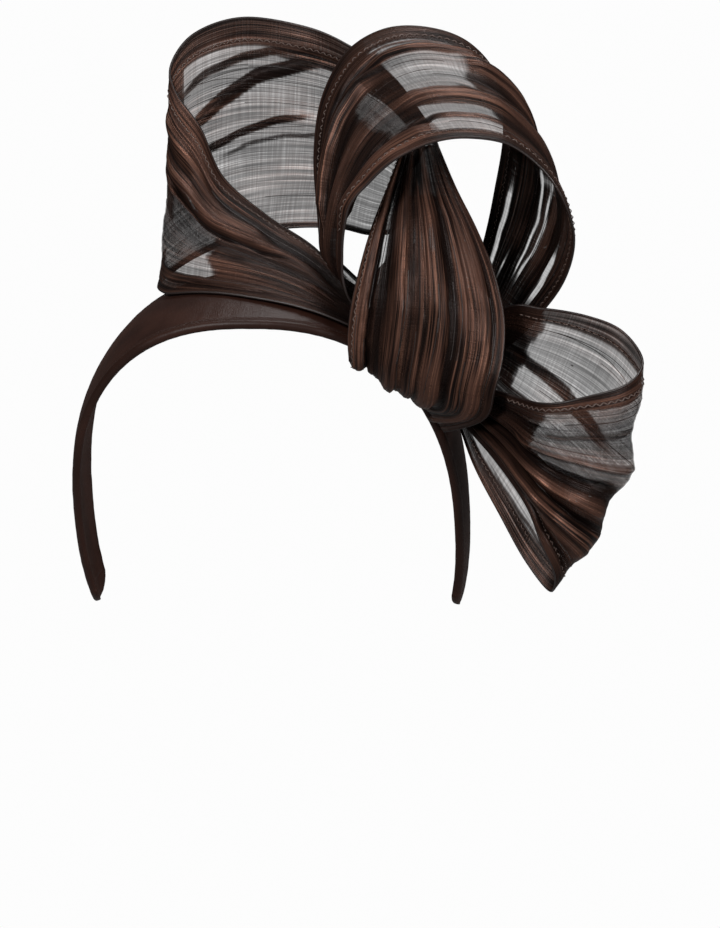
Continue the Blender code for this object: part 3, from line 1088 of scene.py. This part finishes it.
KNOT_FRONT_ROWS = (
    Row((-0.06, -0.21, 0.87), (0.20, -0.21, 0.90), 0.03, 0.008),
    Row((-0.14, -0.34, 0.71), (0.32, -0.34, 0.73), 0.06, 0.012),
    Row((-0.22, -0.45, 0.55), (0.46, -0.41, 0.55), 0.09, 0.014),
    Row((-0.29, -0.51, 0.37), (0.58, -0.46, 0.36), 0.11, 0.014),
    Row((-0.34, -0.55, 0.21), (0.65, -0.49, 0.16), 0.12, 0.014),
    Row((-0.36, -0.55, 0.09), (0.65, -0.54, -0.01), 0.10, 0.012),
    Row((-0.36, -0.52, 0.01), (0.60, -0.56, -0.16), 0.07, 0.010),
    Row((-0.36, -0.48, -0.03), (0.51, -0.40, -0.30), 0.04, 0.006),
)
KNOT_BACK_ROWS = (
    Row((-0.21, 0.29, 0.41), (0.29, 0.46, 0.16), -0.01, 0.010),
    Row((-0.05, 0.14, 0.55), (0.26, 0.32, 0.39), -0.01, 0.008),
    Row((-0.02, -0.08, 0.70), (0.24, -0.03, 0.70), 0.00, 0.006),
)

LEFT_LOOP_FOLDS = (
    Fold(7.7, 10.4, 0.44, 0.14, 6.5, -1.6, 5.0),
    Fold(7.9, 10.2, 0.58, 0.42, 3.4, -1.4, 4.5),
    Fold(8.5, 10.8, 0.60, 0.49, 1.8, -0.8, 1.6),
    Fold(7.5, 10.0, 0.25, 0.12, 3.5, -1.2, 3.0),
    Fold(9.4, 13.0, 0.13, 0.17, 8.0, 1.0, 2.5),
    Fold(2.6, 6.8, 0.30, 0.20, 12.0, 3.0, 0.5),
    Fold(2.4, 6.0, 0.47, 0.44, 6.0, -3.0, 1.0),
    Fold(4.2, 5.3, 0.43, 0.42, 1.8, 0.0, -5.0),
    Fold(2.9, 3.7, 0.42, 0.43, 2.0, 0.0, -5.5),
    Fold(2.2, 2.9, 0.38, 0.39, 1.2, 0.0, -4.0),
    Fold(1.2, 4.2, 0.62, 0.60, 10.0, 2.5, 1.0),
    Fold(1.0, 5.5, 0.86, 0.90, 5.0, 1.5, 2.0, 0.6),
)
LEFT_LOOP_PATCHES = (
    Patch(1.7, 0.50, 1.95, 0.60, 6.0),
    Patch(5.2, 0.20, 2.00, 0.27, 4.0),
    Patch(4.9, 0.95, 1.90, 0.09, 2.5),
    Patch(7.1, 0.22, 0.45, 0.22, 3.0),
    Patch(6.2, 0.50, 0.70, 0.12, 1.5),
)
ARCH_FOLDS = (
    Fold(2.5, 6.3, 0.10, 0.10, 15.0, 2.0, 3.0),
    Fold(2.5, 6.6, 0.23, 0.20, 5.0, -3.5, 2.5),
    Fold(2.6, 6.2, 0.68, 0.70, 9.0, 3.0, 0.5),
    Fold(2.6, 6.6, 0.84, 0.82, 5.0, -2.5, 2.0),
    Fold(5.9, 8.9, 0.36, 0.35, 11.5, 1.5, 3.0),
    Fold(6.4, 7.6, 0.385, 0.375, 1.0, 0.0, -2.6),
    Fold(6.5, 7.3, 0.335, 0.33, 0.9, 0.0, -2.4),
    Fold(6.2, 8.6, 0.20, 0.185, 5.0, 1.2, 2.5),
    Fold(6.0, 9.0, 0.77, 0.78, 8.0, 2.0, 3.0),
    Fold(6.0, 8.6, 0.855, 0.86, 1.8, 0.5, 2.5),
    Fold(8.0, 11.0, 0.72, 0.65, 12.0, 2.5, 0.5),
    Fold(7.6, 11.0, 0.45, 0.42, 6.0, -2.5, 1.0),
    Fold(10.5, 13.3, 0.53, 0.53, 1.8, 0.0, -5.0),
    Fold(10.5, 12.6, 0.575, 0.58, 1.2, 0.0, -4.6),
    Fold(10.7, 13.4, 0.475, 0.50, 2.0, 0.0, -4.6),
    Fold(11.6, 13.5, 0.22, 0.20, 5.0, 0.0, -4.6),
    Fold(11.4, 13.6, 0.86, 0.85, 4.0, 0.0, -4.8),
    Fold(12.6, 13.6, 0.74, 0.75, 2.5, 0.0, -4.4),
    Fold(10.8, 14.5, 0.36, 0.36, 9.0, 3.0, 0.5),
    Fold(10.8, 14.5, 0.66, 0.66, 8.0, 3.0, 0.5),
)
ARCH_PATCHES = (
    Patch(3.3, 0.50, 1.90, 0.60, 3.0),
    Patch(5.4, 0.80, 0.90, 0.17, 2.5),
    Patch(9.6, 0.50, 1.40, 0.62, 3.0),
    Patch(13.0, 0.50, 2.00, 0.62, 3.5),
)
SIDE_LOOP_FOLDS = (
    Fold(1.5, 4.6, 0.285, 0.43, 6.0, 1.0, 2.5),
    Fold(2.2, 4.9, 0.90, 0.90, 1.2, 0.0, 1.5),
    Fold(5.2, 9.5, 0.05, 0.05, 9.0, 0.5, 2.5),
    Fold(5.2, 8.2, 0.24, 0.30, 3.0, 1.5, 0.7),
    Fold(5.2, 8.6, 0.40, 0.42, 4.0, 2.0, 0.8),
    Fold(5.3, 9.6, 0.60, 0.62, 9.0, 3.5, 0.5, 0.4),
    Fold(5.3, 9.6, 0.82, 0.80, 10.0, 4.0, 0.5, 0.4),
    Fold(5.5, 9.6, 0.50, 0.52, 5.0, -3.0, 1.5),
    Fold(5.4, 9.6, 0.71, 0.71, 5.0, -3.5, 2.0),
    Fold(5.4, 9.4, 0.92, 0.90, 4.0, -2.0, 1.0),
    Fold(7.0, 9.0, 0.16, 0.22, 5.0, 1.0, -1.5),
)
SIDE_LOOP_PATCHES = (
    Patch(1.2, 0.15, 0.80, 0.35, 3.0),
    Patch(1.5, 0.62, 1.20, 0.13, 2.0),
    Patch(2.6, 0.77, 1.60, 0.08, 2.5),
    Patch(7.4, 0.78, 2.40, 0.26, 3.0),
    Patch(8.9, 0.40, 0.90, 0.60, 3.0),
)
KNOT_FOLDS = (
    Fold(0.8, 9.0, 0.125, 0.125, 3.5, -2.0, 1.0),
    Fold(2.2, 4.8, 0.165, 0.16, 4.5, 0.0, -3.4),
    Fold(0.6, 9.0, 0.06, 0.06, 10.0, 2.0, 0.5),
    Fold(1.0, 2.9, 0.17, 0.17, 8.0, 0.0, -1.2),
    Fold(1.2, 9.0, 0.31, 0.30, 9.0, 2.0, 0.5, 0.7),
    Fold(1.6, 9.0, 0.45, 0.44, 8.0, 1.6, 0.5, 0.5),
    Fold(1.2, 9.0, 0.60, 0.59, 9.0, 2.2, 0.5, 0.7),
    Fold(2.0, 9.0, 0.74, 0.73, 7.0, 1.6, 0.5, 0.5),
    Fold(1.2, 9.0, 0.88, 0.87, 8.0, 2.0, 0.5, 0.7),
    Fold(2.9, 3.9, 0.57, 0.57, 5.0, 0.0, -6.0),
    Fold(2.9, 3.7, 0.42, 0.42, 2.4, 0.0, -6.0),
    Fold(3.0, 3.9, 0.48, 0.48, 1.6, 0.0, -6.0),
    Fold(4.4, 4.9, 0.52, 0.52, 3.5, 0.0, -6.0),
)
KNOT_PATCHES = (Patch(17.0, 0.50, 1.60, 0.60, -2.0),)

LEFT_LOOP_SIZES = (0.096, 0.100, 0.128)
ARCH_SIZES = (0.064, 0.100, 0.128)
SIDE_LOOP_SIZES = (0.090, 0.100, 0.093)
KNOT_SIZES = (0.058, 0.060, 0.085)


class KnotStrip(Ribbon):
    """The strip from the neck down over the roots, round the band and up behind them.

    Attributes:
        wrap_stand: How far it stays off the band that it wraps.
        wall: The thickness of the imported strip.
        back_lift: How high it starts behind the band.
        wrap_rows: How many rows the wrap has.
    """

    wrap_stand: float = 0.0007
    wall: float = 0.0014
    back_lift: float = 0.008
    wrap_rows: int = 7

    def wrap(self) -> list[np.ndarray]:
        """The rows round the band: round its front roll, under it, round its back edge and up."""
        hoop = self.hoop
        turn = self.seat_angle + self.half_arc * np.linspace(-1, 1, self.columns + 1)
        half_width = hoop.half_width(turn)
        middle = -hoop.thickness / 2
        rows = []
        for side, radius, degrees in ((-1, hoop.roll / 2, (0, 45, 90)), (1, hoop.thickness / 2, (90, 45, 0))):
            path = radius + self.wall / 2 + self.wrap_stand
            for below in np.radians(degrees):
                across = side * (half_width - radius + path * math.cos(below))
                rows.append(hoop.point(turn, across, middle - path * math.sin(below)))
        rows.append(hoop.point(turn, half_width + self.wrap_stand, self.back_lift))
        return rows

    def neck(self) -> np.ndarray:
        """The first row, which lies against the end of the left loop."""
        loop = Ribbon("left_loop", LEFT_LOOP_ROWS, LEFT_LOOP_SIZES, 3, columns=self.columns)
        return loop.row_points(LEFT_LOOP_ROWS[-1])[::-1] - np.array([0, self.stand, 0])

    def all_rows(self) -> list[np.ndarray]:
        """The points of every row, the wrap's among them."""
        front = [self.row_points(row) for row in KNOT_FRONT_ROWS]
        back = [self.row_points(row) for row in KNOT_BACK_ROWS]
        return [self.neck()] + front + self.wrap() + back

    def bows(self) -> list[tuple[float, float]]:
        """The bow and the pleat height of every row."""
        flat = [(0.0, 0.0)] * self.wrap_rows
        front = [(row.bow, row.pleat) for row in KNOT_FRONT_ROWS]
        return [(0.0, 0.0)] + front + flat + [(row.bow, row.pleat) for row in KNOT_BACK_ROWS]


@dataclass
class HeadbandCover:
    """The satin band: a padded hoop with a piped front edge.

    Attributes:
        hoop: Its form.
        stations: Sections along the band.
        face_steps: Steps across each face.
        roll_steps: Steps round the front roll.
        pucker: The height of its faint puckers.
        tip_share: The share of each arm that its rounded tip takes.
        tip_steps: Sections along a tip.
        seed: What picks the puckers.
    """

    hoop: Hoop
    stations: int = 220
    face_steps: int = 26
    roll_steps: int = 12
    pucker: float = 0.10 * MILLIMETRE
    tip_share: float = 0.045
    tip_steps: int = 12
    seed: int = 5

    def section(self, half_width: float) -> list[tuple[float, float]]:
        """The band's outline, as (length across, lift): the front roll, the under face, the outer face."""
        hoop = self.hoop
        radius = hoop.roll / 2
        middle = -hoop.thickness / 2
        join = math.asin(hoop.thickness / hoop.roll)
        centre = radius - half_width
        turns = np.linspace(join, 2 * math.pi - join, self.roll_steps + 1)
        roll = [(centre + radius * math.cos(turn), middle + radius * math.sin(turn)) for turn in turns]
        corner = hoop.thickness / 2
        back = half_width - corner
        faces = np.linspace(roll[0][0], back, self.face_steps + 1)[1:]
        under = [(across, -hoop.thickness) for across in faces]
        ends = np.radians((-60, -30, 0, 30, 60))
        edge = [(back + corner * math.cos(turn), middle + corner * math.sin(turn)) for turn in ends]
        outer = [(across, 0.0) for across in reversed(faces)]
        return roll + under + edge + outer

    def build(self, name: str, material: bpy.types.Material) -> bpy.types.Object:
        """Make the band's cover.

        Args:
            name: The piece's name.
            material: Its satin.

        Returns:
            The piece.
        """
        hoop = self.hoop
        turns = np.linspace(-1, 1, self.stations + 1)
        tip = np.sin(np.linspace(0, math.pi / 2, self.tip_steps + 1)) * self.tip_share
        turns = np.concatenate([tip - 1, turns[(np.abs(turns) < 1 - self.tip_share)], 1 - tip[::-1]])
        angles = turns * hoop.arm_angle
        sections = [self.section(float(hoop.half_width(np.array(angle)))) for angle in angles]
        rings = []
        for angle, turn, section in zip(angles, turns, sections):
            across, lift = np.array(section).T
            inward = max(0.0, 1 - (1 - abs(turn)) / self.tip_share)
            round_off = max(math.sqrt(1 - inward**2), 0.02)
            middle = -hoop.thickness / 2
            rings.append(hoop.point(angle, across * round_off, middle + (lift - middle) * round_off**0.5))
        grid = np.array(rings)
        count = grid.shape[1]
        closed = np.concatenate([grid, grid[:, :1]], axis=1)
        puckers = ripple((grid.shape[1], grid.shape[0]), 60, 2.0, self.seed).T
        out = unit(np.cross(np.gradient(closed, axis=0), np.gradient(closed, axis=1)))[:, :count]
        grid = grid + out * (self.pucker * puckers)[..., None]
        number = np.arange(grid.shape[0] * count).reshape(grid.shape[:2])
        after = np.roll(number, -1, axis=1)
        sides = np.stack([number[:-1], number[1:], after[1:], after[:-1]], -1).reshape(-1, 4)
        faces = sides[:, ::-1].tolist() + [number[0].tolist(), number[-1][::-1].tolist()]
        mesh = bpy.data.meshes.new(name)
        mesh.from_pydata(grid.reshape(-1, 3).tolist(), [], faces)
        along = angles * hoop.half_span
        crown = grid[len(grid) // 2]
        girth = np.cumsum(np.linalg.norm(np.diff(crown, axis=0, prepend=crown[:1]), axis=1))
        flat = np.stack(np.meshgrid(along, girth, indexing="ij"), -1).reshape(-1, 2)
        loops = np.concatenate([np.array(face) for face in faces])
        layer = mesh.uv_layers.new(name=CLOTH_MAP)
        layer.data.foreach_set("uv", flat[loops].astype(np.float32).ravel())
        mesh.materials.append(material)
        mesh.shade_smooth()
        return placed(name, mesh)


class Lamp(NamedTuple):
    """A soft square light.

    Attributes:
        name: Its name.
        place: Where it stands.
        size: The side of its square.
        power_w: Its power in watts.
    """

    name: str
    place: Point
    size: float
    power_w: float


LAMPS = (
    Lamp("key", (-0.8, -1.6, 1.0), 0.6, 34.0),
    Lamp("fill", (1.4, -1.2, 0.35), 0.6, 24.0),
    Lamp("top", (0.1, 0.3, 1.6), 0.8, 14.0),
)
LIT_POINT = Vector((0.03, 0.0, 0.0))


@dataclass(frozen=True)
class Studio:
    """The floor, the lights and the camera.

    Attributes:
        azimuth: The camera's turn to the right of the front, in radians.
        elevation: Its height above the horizon, in radians.
        distance: From the origin, in metres.
        pixels_per_metre: The photograph's scale at the origin.
        origin_pixel: Where the origin lies in the photograph.
        picture: The photograph's width and height in pixels.
        floor_drop: How far the floor lies under the piece.
        sensor: The camera's sensor, in millimetres.
        white: How bright the studio looks to the camera.
        sky: How bright the sky shines on the piece.
    """

    azimuth: float = math.radians(7.0)
    elevation: float = math.radians(3.0)
    distance: float = 1.600
    pixels_per_metre: float = 2600.0
    origin_pixel: tuple[float, float] = (257.0, 297.0)
    picture: tuple[int, int] = (720, 928)
    floor_drop: float = 0.16
    sensor: float = 36.0
    white: float = 0.98
    sky: float = 0.09

    def axes(self) -> tuple[Vector, Vector, Vector]:
        """The directions to the camera, to its right and up."""
        sa, ca = math.sin(self.azimuth), math.cos(self.azimuth)
        se, ce = math.sin(self.elevation), math.cos(self.elevation)
        back = Vector((sa * ce, -ca * ce, se))
        right = Vector((ca, sa, 0.0))
        return back, right, back.cross(right)

    def camera(self) -> None:
        """Set up the camera at the photograph's angle."""
        back, right, up = self.axes()
        shift_right = (self.picture[0] / 2 - self.origin_pixel[0]) / self.pixels_per_metre
        shift_up = (self.origin_pixel[1] - self.picture[1] / 2) / self.pixels_per_metre
        target = right * shift_right + up * shift_up
        data = bpy.data.cameras.new("camera")
        data.sensor_width = self.sensor
        data.lens = self.sensor * self.pixels_per_metre * self.distance / max(self.picture)
        data.clip_end = 20.0
        obj = placed("camera", data)
        obj.location = target + back * self.distance
        obj.rotation_euler = back.to_track_quat("Z", "Y").to_euler()
        bpy.context.scene.camera = obj

    def light(self, lamp: Lamp) -> None:
        """Add a soft area light that faces the fascinator."""
        data = bpy.data.lights.new(lamp.name, "AREA")
        data.size = lamp.size
        data.energy = lamp.power_w
        obj = placed(lamp.name, data)
        obj.location = lamp.place
        obj.rotation_euler = (Vector(lamp.place) - LIT_POINT).to_track_quat("Z", "Y").to_euler()

    def floor(self) -> None:
        """Lay a pale floor that sweeps up into a backdrop."""
        low = FRAME_BOX[0].z - self.floor_drop
        near, side, depth, rise, bend = -4.0, 4.0, 3.0, 4.0, 1.0
        turns = np.linspace(0, math.pi / 2, 17)
        profile = [(near, low)]
        profile += [(depth + bend * math.sin(turn), low + bend * (1 - math.cos(turn))) for turn in turns]
        profile += [(depth + bend, low + rise)]
        points = [(x, y, z) for y, z in profile for x in (-side, side)]
        faces = [(2 * i, 2 * i + 1, 2 * i + 3, 2 * i + 2) for i in range(len(profile) - 1)]
        mesh = bpy.data.meshes.new("floor")
        mesh.from_pydata(points, [], faces)
        mesh.shade_smooth()
        finish = Finish("pale_paper")
        finish.set(Base_Color=Tone.PAPER.rgba, Roughness=1.0, Specular_IOR_Level=0.0)
        graph = finish.graph
        seen = graph.node("ShaderNodeLightPath").outputs["Is Camera Ray"]
        glow = graph.node("ShaderNodeEmission", None, {"Strength": self.white})
        sockets = {"Fac": seen, 1: finish.shader.outputs["BSDF"], 2: glow.outputs["Emission"]}
        shown = graph.node("ShaderNodeMixShader", None, sockets)
        output = graph.tree.nodes["Material Output"]
        graph.join(output.inputs["Surface"], shown.outputs["Shader"])
        mesh.materials.append(finish.material)
        placed("floor", mesh)

    def build(self) -> None:
        """Set up the whole studio."""
        scene = bpy.context.scene
        scene.view_settings.view_transform = "Standard"
        scene.cycles.transparent_max_bounces = 32
        world = bpy.data.worlds.new("studio")
        world.use_nodes = True
        graph = Graph(world.node_tree)
        seen = Value(graph, graph.node("ShaderNodeLightPath").outputs["Is Camera Ray"])
        background = world.node_tree.nodes["Background"]
        graph.join(background.inputs["Color"], (1.0, 1.0, 1.0, 1.0))
        graph.join(background.inputs["Strength"], self.sky + seen * (self.white - self.sky))
        scene.world = world
        self.camera()
        self.floor()
        for lamp in LAMPS:
            self.light(lamp)


class Seam(NamedTuple):
    """A row of stitches along a ribbon.

    Attributes:
        start: The row where it begins.
        stop: The row where it ends.
        share: Its place across, as a share of the width.
    """

    start: float
    stop: float
    share: float


class Trim(NamedTuple):
    """What is sewn into a ribbon.

    Attributes:
        slubs: How many thicker threads it has.
        stitches: Its rows of stitches.
        slub_radius: The thicker threads' radius, in millimetres.
        roll_radius: The rolled edges' radius, in millimetres.
    """

    slubs: int
    stitches: tuple[Seam, ...]
    slub_radius: float = 0.13
    roll_radius: float = 0.55


WHOLE_LENGTH = (0.0, 99.0)  # from the first row past the last row of any ribbon
EDGE_SHARES = (0.004, 0.996)


@dataclass
class Fascinator:
    """The whole piece of headwear.

    Attributes:
        hoop: The band's form.
        net: The loops' cloth.
        knot_net: The knot's cloth.
        satin: The band's cloth.
        thread: The thread of the hems' stitches.
        slub: The cloth's thicker threads and its rolled edges.
    """

    hoop: Hoop = field(default_factory=Hoop.packed)
    net: NetFinish = NetFinish("silk_net")
    knot_net: NetFinish = NetFinish("gathered_net", gloss=0.6)
    satin: SatinFinish = SatinFinish("band_satin")
    thread: ThreadFinish = ThreadFinish("hem_thread", Tone.STITCH)
    slub: ThreadFinish = ThreadFinish("slub_thread", Tone.SLUB)

    def headband(self) -> None:
        """Cover the band."""
        cover = HeadbandCover(self.hoop).build("headband_cover", self.satin.material())
        self.add(cover, "band_satin", "headband")

    @staticmethod
    def add(piece: bpy.types.Object, slot: str, node: str | None = None) -> None:
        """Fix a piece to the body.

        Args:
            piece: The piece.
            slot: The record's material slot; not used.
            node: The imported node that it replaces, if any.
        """
        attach(piece, "root")
        if node:
            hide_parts(node)
        LOG.info("%s: %d faces", piece.name, len(piece.data.polygons))

    def threads(self, name: str, lines: list[np.ndarray], radius: float) -> bpy.types.Object:
        """Sweep threads of a radius in millimetres along some lines."""
        sizes = {"Radius": radius * MILLIMETRE, "Material": self.slub_thread}
        return self.line_work.grow(lines_object(name, lines), self.line_work.thread_tree, sizes)

    def ribbon(self, ribbon: Ribbon, name: str, net: bpy.types.Material, slot: str, trim: Trim) -> None:
        """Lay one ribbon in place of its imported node, with its threads and stitches.

        Args:
            ribbon: Its form.
            name: Its name, without the ending.
            net: Its cloth.
            slot: The record's material slot.
            trim: Its slubs, rolled edges and rows of stitches.
        """
        piece = ribbon.build(f"{name}_ribbon", net)
        rolls = [ribbon.line(*WHOLE_LENGTH, share, 0.0) for share in EDGE_SHARES]
        lift = ribbon.hem_thickness * 0.5
        seams = [ribbon.line(*seam, side * lift) for seam in trim.stitches for side in (-1, 1)]
        work = self.line_work
        pieces = [
            self.threads(f"{name}_slubs", ribbon.slubs(trim.slubs), trim.slub_radius),
            self.threads(f"{name}_rolled_edges", rolls, trim.roll_radius),
            work.grow(lines_object(f"{name}_stitches", seams), work.stitch_tree, {"Material": self.hem_thread}),
        ]
        for extra in pieces:
            self.add(extra, slot)
        self.add(piece, slot, ribbon.node)
        flat = (ribbon.width, round(ribbon.length, 3))
        area = min(ribbon.area, flat[0] * flat[1])

    def build(self) -> None:
        """Build every piece in order."""
        self.line_work = LineWork()
        self.hem_thread = self.thread.material()
        self.slub_thread = self.slub.material()
        self.headband()
        net = self.net.material()
        form = (LEFT_LOOP_ROWS, LEFT_LOOP_SIZES, 3, LEFT_LOOP_FOLDS, LEFT_LOOP_PATCHES)
        # The left loop's painted sheen fades almost to nothing near its roots, as painted shade.
        left = Ribbon("left_loop", *form, hems=(0.012, 0.0028), root_rows=4.2, root_shade=0.04, seed=2)
        self.ribbon(left, "left", net, "loop_net", Trim(26, (Seam(1.6, 13.0, 0.10),)))
        form = (ARCH_ROWS, ARCH_SIZES, 3, ARCH_FOLDS, ARCH_PATCHES)
        arch = Ribbon("arch_loop", *form, hems=(0.007, 0.011), seed=3)
        self.ribbon(arch, "arch", net, "loop_net", Trim(26, (Seam(2.5, 13.5, 0.055), Seam(2.5, 13.5, 0.91))))
        form = (SIDE_LOOP_ROWS, SIDE_LOOP_SIZES, 3, SIDE_LOOP_FOLDS, SIDE_LOOP_PATCHES)
        side = Ribbon("side_loop", *form, hems=(0.008, 0.009), hem_layers=(1.2, 2.5), ground=0.82, seed=4)
        self.ribbon(side, "side", net, "loop_net", Trim(20, (Seam(1.5, 9.0, 0.065), Seam(1.5, 9.0, 0.925))))
        knot = KnotStrip(
            "centre_knot",
            (),
            KNOT_SIZES,
            4,
            KNOT_FOLDS,
            KNOT_PATCHES,
            ground=3.8,
            crinkles=30.0,
            hems=(0.005, 0.005),
            # Painted shade at the knot's ends, and a painted sheen that rises steeply on its folds.
            root_shade=0.6,
            full_relief=1.5 * MILLIMETRE,
            seed=6,
        )
        self.ribbon(knot, "knot", self.knot_net.material(), "knot_silk", Trim(60, (Seam(1.2, 8.0, 0.04),), 0.16))


def main() -> None:
    """Build the studio and the fascinator."""
    logging.basicConfig(level=logging.INFO, format="%(message)s")
    Studio().build()
    Fascinator().build()


if __name__ == "__main__":
    main()
